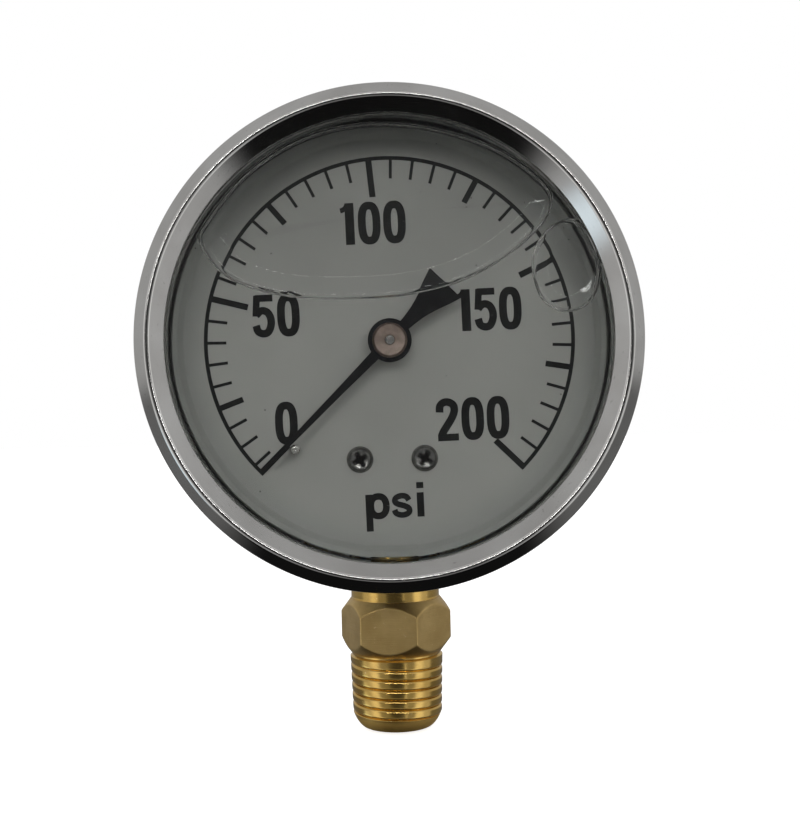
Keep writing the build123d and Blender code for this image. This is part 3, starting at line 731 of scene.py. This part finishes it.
def placedStrokes(sign, x, z, tilt, front):
    # strokes of one sign moved to its place and turned by tilt degrees about it
    c, s = math.cos(math.radians(tilt)), math.sin(math.radians(tilt))
    turn = np.array([[c, s], [-s, c]])
    heavy = dialWriting["heavy"]
    return [ribbon(np.asarray(path, float) @ turn + np.array([x, z]), wide * heavy, front - 0.002 * index)
            for index, (path, wide) in enumerate(signStrokes(sign))]


def buildWriting():
    s = dialWriting
    front = dialFace - dialPrint["ink"]
    parts = []
    for text, cx, cz in s["numbers"]:
        widths = [s["step"][sign] for sign in text]
        along = -sum(widths) / 2
        for sign, wide in zip(text, widths):
            mid = along + wide / 2
            x = gaugeX + cx + mid * math.cos(math.radians(s["tilt"]))
            z = gaugeZ + cz + mid * math.sin(math.radians(s["tilt"]))
            parts += placedStrokes(sign, x, z, s["tilt"], front)
            along += wide
    for sign, shift in s["unit"]:
        x = gaugeX + s["unitX"] + shift * math.cos(math.radians(s["tilt"]))
        z = gaugeZ + s["unitZ"] + shift * math.sin(math.radians(s["tilt"]))
        parts += placedStrokes(sign, x, z, s["tilt"], front)
    piece = joinParts("dialNumbers", parts, 40)
    return dress(piece, "dialInk", "case", "pointer_black")


buildDial()
buildScale()
buildWriting()
print("dial built")


# ---------- pointer ----------

pointerShape = {"angle": 45.5, "reach": 23.6, "tail": 11.0, "hub": 3.02, "edge": 0.05}


def flatSolid(name, outline, front, back, bevel):
    # outline loop filled front and back, with a small bevel at the front rim
    outline = np.asarray(outline, float)
    ahead = np.roll(outline, -1, axis=0) - np.roll(outline, 1, axis=0)
    side = np.stack([ahead[:, 1], -ahead[:, 0]], axis=-1)
    side /= np.linalg.norm(side, axis=1)[:, None]
    turn = np.sum(outline[:, 0] * np.roll(outline[:, 1], -1) - np.roll(outline[:, 0], -1) * outline[:, 1])
    inner = outline - side * bevel * np.sign(turn)
    count = len(outline)
    rings = [(outline, back), (outline, front + bevel), (inner, front)]
    verts = np.vstack([np.column_stack([loop[:, 0], np.full(count, y), loop[:, 1]]) for loop, y in rings])
    faces = gridFaces(3, count, False, True) + [list(range(count)), list(range(2 * count, 3 * count))]
    return makeObject(name, verts, faces, 30)


def buildPointer():
    # needle along +X first: half widths of the taper, round hub, concave flared tail
    s = pointerShape
    reach, tail, hub = s["reach"], s["tail"], s["hub"]
    start = math.degrees(math.asin(0.70 / hub))
    upper = [(reach, 0.03), (reach - 0.3, 0.30), (16.0, 0.42), (9.0, 0.53)]
    upper += [tuple(p) for p in arc(0, 0, hub, hub, start, 180 - start - 2, 30)]
    upper += [(-3.6, 0.86), (-4.5, 0.97), (-5.3, 1.10), (-6.3, 1.34), (-7.2, 1.62), (-8.0, 1.92), (-9.0, 2.30),
              (-10.1, 2.68), (-tail, 2.95)]
    lower = [(x, -w) for x, w in reversed(upper)]
    outline = np.array(upper + [(-tail - 0.02, 0.0)] + lower)
    t = math.radians(270 - s["angle"])
    turn = np.array([[math.cos(t), math.sin(t)], [-math.sin(t), math.cos(t)]])
    outline = outline @ turn + np.array([gaugeX, gaugeZ])
    piece = flatSolid("needle", outline, pointerLow[1], pointerHigh[1], s["edge"])
    return dress(piece, "pointerPaint", "pointer_arbor", "pointer_black", "pointer")


bushShape = {"bore": 0.62, "neck": 0.44, "chamfer": 0.32}


def buildBush():
    # turned bush: chamfered cap with a raised rim line and a centre hole
    s = bushShape
    front, back = bushLow[1], bushHigh[1]
    r = (bushHigh[0] - bushLow[0]) / 2
    bore, neck, seat = s["bore"], r - s["neck"], pointerLow[1] - 0.01
    corners = [(bore, back, 0), (neck, back, 0), (neck, seat, 0), (r, seat, 0.05),
               (r, front + s["chamfer"], 0.08), (r - s["chamfer"], front, 0.12), (r - 0.62, front + 0.02, 0.05),
               (bore + 0.10, front + 0.03, 0.10), (bore, front + 0.16, 0.05)]
    piece = gridObject("pointerBush", turnedAt(rounded([(a, -b, c) for a, b, c in corners], 6),
                       (gaugeX, 0, gaugeZ), "y", 128), True, True, 40)
    return dress(piece, "bushMetal", "pointer_arbor", "bush_nickel", "pointer_bush")


def buildStopPin():
    # collar on the dial with a slimmer round-topped pin
    x, z = (stopLow[0] + stopHigh[0]) / 2, (stopLow[2] + stopHigh[2]) / 2
    r = (stopHigh[0] - stopLow[0]) / 2
    corners = [(0, -stopHigh[1], 0), (r * 0.68, -stopHigh[1], 0), (r * 0.68, -dialFace, 0), (r, -dialFace, 0),
               (r, -stopLow[1] - 0.35, 0.15), (r * 0.72, -stopLow[1] - 0.05, 0.15), (r * 0.35, -stopLow[1], 0.05),
               (r * 0.30, -stopLow[1] - 0.12, 0.03), (0, -stopLow[1] - 0.14, 0)]
    piece = gridObject("stopPin", turnedAt(rounded(corners, 5, False), (x, 0, z), "y", 64), True, False, 40)
    return dress(piece, "pinSteel", "case", "pin_steel", "stop_pin")


dialScrewShape = {"head": 0.9, "recess": 0.70, "armWide": 0.36, "armLong": 1.08, "dish": 0.30, "turn": 28.0}


def buildDialScrews():
    # head over a polar grid: height = domed rim round a dished middle, less a cross recess with soft sides
    s = dialScrewShape
    radius = (screwHigh[2] - screwLow[2]) / 2
    centreX = [screwLow[0] + radius, screwHigh[0] - radius]
    parts = []
    for index, x in enumerate(centreX):
        t, r = np.meshgrid(np.linspace(0, tau, 96, endpoint=False), np.linspace(0, 1, 48), indexing="ij")
        turn = t + math.radians(s["turn"] + 31.0 * index)
        a, b = np.abs(r * radius * np.cos(turn)), np.abs(r * radius * np.sin(turn))
        arm = np.maximum(np.clip((s["armWide"] - a) / 0.14, 0, 1) * np.clip((s["armLong"] - b) / 0.2, 0, 1),
                         np.clip((s["armWide"] - b) / 0.14, 0, 1) * np.clip((s["armLong"] - a) / 0.2, 0, 1))
        dish = s["dish"] * np.clip(1 - (r / 0.72) ** 2, 0, 1)
        height = np.maximum(s["head"] * (1 - r ** 4) ** 0.5 - dish - s["recess"] * arm, 0)
        top = np.stack([x + r * radius * np.sin(t), dialFace - height, (screwLow[2] + screwHigh[2]) / 2
                        + r * radius * np.cos(t)], axis=-1)
        verts, faces = gridPart(top, True, False)
        rim = np.arange(top.shape[0]) * top.shape[1] + top.shape[1] - 1
        parts.append((verts, faces + [rim.tolist()]))
    piece = joinParts("dialScrewHeads", parts, 40)
    return dress(piece, "darkScrew", "case", "dial_screw_steel", "dial_screws")


buildDialScrews()
buildPointer()
buildBush()
buildStopPin()
print("pointer built")


# ---------- stem ----------

stemShape = {"pitch": 25.4 / 18, "threadTop": 10.5, "endR": 6.50, "taper": 1 / 32, "groove": 0.34, "chamfer": 2.3,
             "hexLow": 11.0, "hexHigh": 19.0, "hexFlat": 14.2, "hexTurn": -8.8, "cone": 2.1, "coneR": 6.6,
             "collarR": 6.5, "chamferIn": 1.75, "portR": 2.4, "portDeep": 9.0, "soft": 26.0}


def threadSurface():
    # radius = cone minus a narrow groove that climbs one pitch a turn, faded out at the top end; at the bottom the
    # end chamfer cuts it
    s = stemShape
    z = np.linspace(0, s["threadTop"], 420)
    t = np.linspace(0, tau, 192, endpoint=False)
    zz, tt = np.meshgrid(z, t)
    body = s["endR"] + zz * s["taper"]
    phase = (zz - s["pitch"] * tt / tau) / s["pitch"]
    across = np.abs(2 * (phase - np.floor(phase)) - 1)
    groove = s["groove"] * across ** 5.0
    fade = np.clip((s["threadTop"] - 0.5 - zz) / 1.2, 0, 1) ** 0.7
    radius = body - groove * fade
    rise = np.clip(zz / s["chamfer"], 0, 1)
    corner = s["endR"] - s["chamferIn"] * (1 - np.sqrt(1 - (1 - rise) ** 2) * 0.6 - rise * 0.4)
    radius = np.minimum(radius, corner + zz * s["taper"])
    return radius, zz, tt


def levelRing(t, r, height):
    # one column of points round the stem axis: x = r sin t, y = r cos t
    return np.stack([r * np.sin(t), r * np.cos(t), np.full_like(t, height)], axis=-1)[:, None, :]


def buildThread():
    # port bore, end face, thread and the plain neck under the hexagon, as one closed surface
    s = stemShape
    radius, zz, tt = threadSurface()
    points = np.stack([radius * np.sin(tt), radius * np.cos(tt), zz + stemLow[2]], axis=-1)
    t = tt[:, 0]
    top, neck, port = s["hexLow"] + 0.3, s["coneR"] - 0.1, s["portR"]
    lead = [levelRing(t, 0.0, s["portDeep"]), levelRing(t, port, s["portDeep"]), levelRing(t, port, 0.35),
            levelRing(t, port + 0.35, 0.0)]
    tail = [levelRing(t, neck, s["threadTop"] + 0.25), levelRing(t, neck, top), levelRing(t, 0.0, top)]
    grid = np.concatenate(lead + [points] + tail, axis=1)
    piece = gridObject("stemThread", grid, True, False, 50)
    return dress(piece, "threadBrass", "case", "socket_brass", "stem_socket")


def hexRadius(t, zz):
    # distance to the hexagon's side, cut back by the chamfer cone at both ends
    s = stemShape
    inner = s["hexFlat"] / 2
    local = (t - math.radians(s["hexTurn"]) + tau / 12) % (tau / 6) - tau / 12
    flat = inner / np.cos(local)
    edge = np.minimum(zz - s["hexLow"], s["hexHigh"] - zz)
    full = inner / math.cos(tau / 12)
    cone = s["coneR"] + np.clip(edge / s["cone"], 0, 1) * (full + 0.02 - s["coneR"])
    # soft minimum, so that edges are slightly broken
    return -np.log(np.exp(-flat * s["soft"]) + np.exp(-cone * s["soft"])) / s["soft"]


def buildHexagon():
    s = stemShape
    t = np.linspace(0, tau, 720, endpoint=False)
    spread = (1 - np.cos(np.linspace(0, math.pi, 60))) / 2
    z = s["hexLow"] + spread * (s["hexHigh"] - s["hexLow"])
    zz, tt = np.meshgrid(z, t)
    radius = hexRadius(tt, zz)
    # the angle is counted from -Y towards +X, so a flat faces the front before the turn
    points = np.stack([radius * np.sin(tt), -radius * np.cos(tt), zz], axis=-1)
    ends = [levelRing(t, 0.0, s["hexLow"]), levelRing(t, 0.0, s["hexHigh"])]
    grid = np.concatenate([ends[0], points, ends[1]], axis=1)
    piece = gridObject("stemHexagon", grid, True, False, 24)
    return dress(piece, "hexBrass", "case", "socket_brass")


def buildCollar():
    # turned collar from the hexagon up into the case, with a small step under the case wall
    s = stemShape
    r, low, step, top = s["collarR"], s["hexHigh"], gaugeZ - 31.9, gaugeZ - 26.5
    corners = [(0, low - 0.3, 0), (r + 0.04, low - 0.3, 0), (r, low + 0.3, 0.2), (r, step, 0.1),
               (r - 0.3, step + 0.2, 0.1), (r - 0.3, top, 0.2), (0, top, 0)]
    piece = gridObject("stemCollar", turnedAt(rounded(corners, 5, False), (0, 0, 0), "z", 160), True, False, 35)
    return dress(piece, "threadBrass", "case", "socket_brass")


# levels: height from the gauge axis and half width
blockShape = {"front": -3.0, "back": 7.0, "corner": 0.8,
              "levels": [(-28.4, 9.6), (-27.4, 12.4), (-24.9, 12.4), (-24.3, 9.0), (-11.5, 9.0), (-11.1, 8.6)]}


def buildBlock():
    # socket block: rounded box section carried upwards, narrower above the ears
    s = blockShape
    front, back, corner = s["front"], s["back"], s["corner"]
    rings = []
    for z, halfWide in s["levels"]:
        corners = [(-halfWide, front, corner), (halfWide, front, corner), (halfWide, back, corner),
                   (-halfWide, back, corner)]
        section = rounded(corners, 6)
        rings.append(np.column_stack([section, np.full(len(section), gaugeZ + z)]))
    grid = np.stack(rings, axis=1)
    count = len(grid)
    verts, faces = gridPart(grid, True, False)
    columns = grid.shape[1]
    faces += [[row * columns for row in range(count)], [row * columns + columns - 1 for row in range(count)]]
    piece = makeObject("socketBlock", verts, faces, 35)
    return dress(piece, "movementBrass", "case", "socket_brass")


buildThread()
buildHexagon()
buildCollar()
buildBlock()
print("stem built")


# ---------- finishes of the CAD nodes that stay ----------

keptFinishes = {
    "bourdon_tube": "tubeBronze", "tube_tip": "movementBrass", "tip_pin": "pinSteel", "link": "pinSteel",
    "tail_pin": "pinSteel", "sector_gear": "movementBrass", "sector_arbor": "pinSteel",
    "pinion_arbor": "pinSteel", "hairspring": "tubeBronze", "hairspring_collet": "movementBrass",
    "hairspring_stud": "movementBrass", "movement_rear_plate": "movementBrass",
    "movement_front_plate": "movementBrass", "movement_pillars": "movementBrass",
    "movement_screws": "zincScrew", "plate_screws": "zincScrew",
    "restrictor_screw": "movementBrass", "stem_seal": "blackRubber", "case_screws": "zincScrew",
}
for node, paint in keptFinishes.items():
    kept = bpy.data.objects[node]
    kept.data.materials.clear()
    kept.data.materials.append(paints[paint])
print("kept nodes finished", len(keptFinishes))


# ---------- floor, light and camera ----------

stageValues = {"floorSize": 3.0, "floorDrop": 0.0004, "floorColour": (0.86, 0.86, 0.86), "floorGlow": 0.80}


def buildFloor():
    half = stageValues["floorSize"] / 2
    mesh = bpy.data.meshes.new("floor")
    z = -stageValues["floorDrop"]
    mesh.from_pydata([(-half, -half, z), (half, -half, z), (half, half, z), (-half, half, z)], [], [[0, 1, 2, 3]])
    floor = bpy.data.objects.new("floor", mesh)
    bpy.context.scene.collection.objects.link(floor)
    paint = Paint("floorPaint")
    shader = paint.node("ShaderNodeBsdfDiffuse", values={"Color": (*stageValues["floorColour"], 1.0)})
    glow = paint.node("ShaderNodeEmission", values={"Color": (1, 1, 1, 1), "Strength": stageValues["floorGlow"]})
    path = paint.node("ShaderNodeLightPath")
    both = paint.node("ShaderNodeAddShader", values={0: shader.outputs[0], 1: glow.outputs[0]})
    pick = paint.node("ShaderNodeMixShader", values={0: path.outputs["Is Camera Ray"], 1: shader.outputs[0],
                                                     2: both.outputs[0]})
    paint.tree.links.new(pick.outputs[0], paint.out.inputs[0])
    mesh.materials.append(paint.material)
    floor.visible_glossy = False
    floor.visible_transmission = False


worldValues = {"behind": 0.50, "behindLow": 0.17, "sideways": 1.05, "level": 0.55, "above": 0.85, "ahead": 0.30,
               "viewer": 0.06, "camera": 1.0, "arcFrom": 0.886, "arcTo": 0.899, "arcSoft": 0.004,
               "low": 0.008, "lowTowards": (0.0, -0.06, -1.0), "arc": 18.5, "strip": 0.9,
               "patch": 1.0, "patchTowards": (-0.883, 0.0, -0.469), "patchColour": (0.70, 0.88, 1.0, 1.0)}


def buildWorld():
    # studio surround: bright panels left and right, grey above and behind, dark underneath and where the
    # viewer stands, a thin bright arc above the viewer; white where the camera looks past the object
    v = worldValues
    world = bpy.data.worlds.new("studio")
    bpy.context.scene.world = world
    world.use_nodes = True
    paint = Paint("studioMaths")
    paint.tree = world.node_tree
    paint.tree.nodes.clear()
    direction = paint.node("ShaderNodeTexCoord").outputs["Generated"]
    split = paint.node("ShaderNodeSeparateXYZ", values={0: direction})
    x, y, z = [Wire(paint, socket) for socket in split.outputs]

    def towards(axis):
        return Wire(paint, paint.node("ShaderNodeVectorMath", {"operation": "DOT_PRODUCT"},
                                      {0: direction, 1: axis}).outputs["Value"])

    def between(value, low, high, soft):
        return value.step(low - soft, low + soft) * (1 - value.step(high - soft, high + soft))

    def towardsLevel(level, mask, target):
        return level + mask * (target - level)

    front = y * -1.0
    side = z.calc("ABSOLUTE").step(0.25, 0.90)
    panel = v["sideways"] + side * (v["above"] - v["sideways"])
    behind = v["behind"] + z.step(-0.05, -0.2) * (v["behindLow"] - v["behind"])
    panel = panel * (v["level"] + front.step(0.25, 0.45) * (1 - v["level"]))
    level = towardsLevel(behind, front.step(-0.12, 0.02), panel)
    level = towardsLevel(level, front.step(0.60, 0.72), v["ahead"])
    level = towardsLevel(level, front.step(0.88, 0.935), v["viewer"])
    level = towardsLevel(level, towards(v["lowTowards"]).step(0.62, 0.80), v["low"])
    level = level + between(front, v["arcFrom"], v["arcTo"], v["arcSoft"]) * z.step(0.10, 0.16) * v["arc"]
    level = level + between(x, 0.33, 0.37, 0.01) * between(z, -0.45, -0.08, 0.03) * front.step(0.5, 0.6) * v["strip"]
    patch = towards(v["patchTowards"]).step(0.968, 0.990)
    surround = paint.node("ShaderNodeBackground", values={"Color": (1, 1, 1, 1), "Strength": level})
    cold = paint.node("ShaderNodeBackground", values={"Color": v["patchColour"], "Strength": patch * v["patch"]})
    both = paint.node("ShaderNodeAddShader", values={0: surround.outputs[0], 1: cold.outputs[0]})
    seen = paint.node("ShaderNodeBackground", values={"Color": (1, 1, 1, 1), "Strength": v["camera"]})
    path = paint.node("ShaderNodeLightPath")
    pick = paint.node("ShaderNodeMixShader", values={0: path.outputs["Is Camera Ray"], 1: both.outputs[0],
                                                     2: seen.outputs[0]})
    out = paint.node("ShaderNodeOutputWorld")
    paint.tree.links.new(pick.outputs[0], out.inputs[0])
    bpy.data.materials.remove(paint.material)


cameraValues = {"place": (-0.7, -184.0, 47.2), "aim": (1.1, -20.0, 46.05), "lens": 55.9, "roll": 1.3}


def buildCamera():
    v = cameraValues
    data = bpy.data.cameras.new("camera")
    data.sensor_fit = "HORIZONTAL"
    data.sensor_width = 36.0
    data.lens = v["lens"]
    data.clip_start = 0.01
    camera = bpy.data.objects.new("camera", data)
    place, aim = Vector(v["place"]) * mm, Vector(v["aim"]) * mm
    look = (aim - place).to_track_quat("-Z", "Y").to_matrix().to_4x4()
    camera.matrix_world = Matrix.Translation(place) @ look @ Matrix.Rotation(math.radians(-v["roll"]), 4, "Z")
    bpy.context.scene.collection.objects.link(camera)
    bpy.context.scene.camera = camera


buildFloor()
buildWorld()
buildCamera()
bpy.context.scene.view_settings.view_transform = "Standard"
print("stage built")
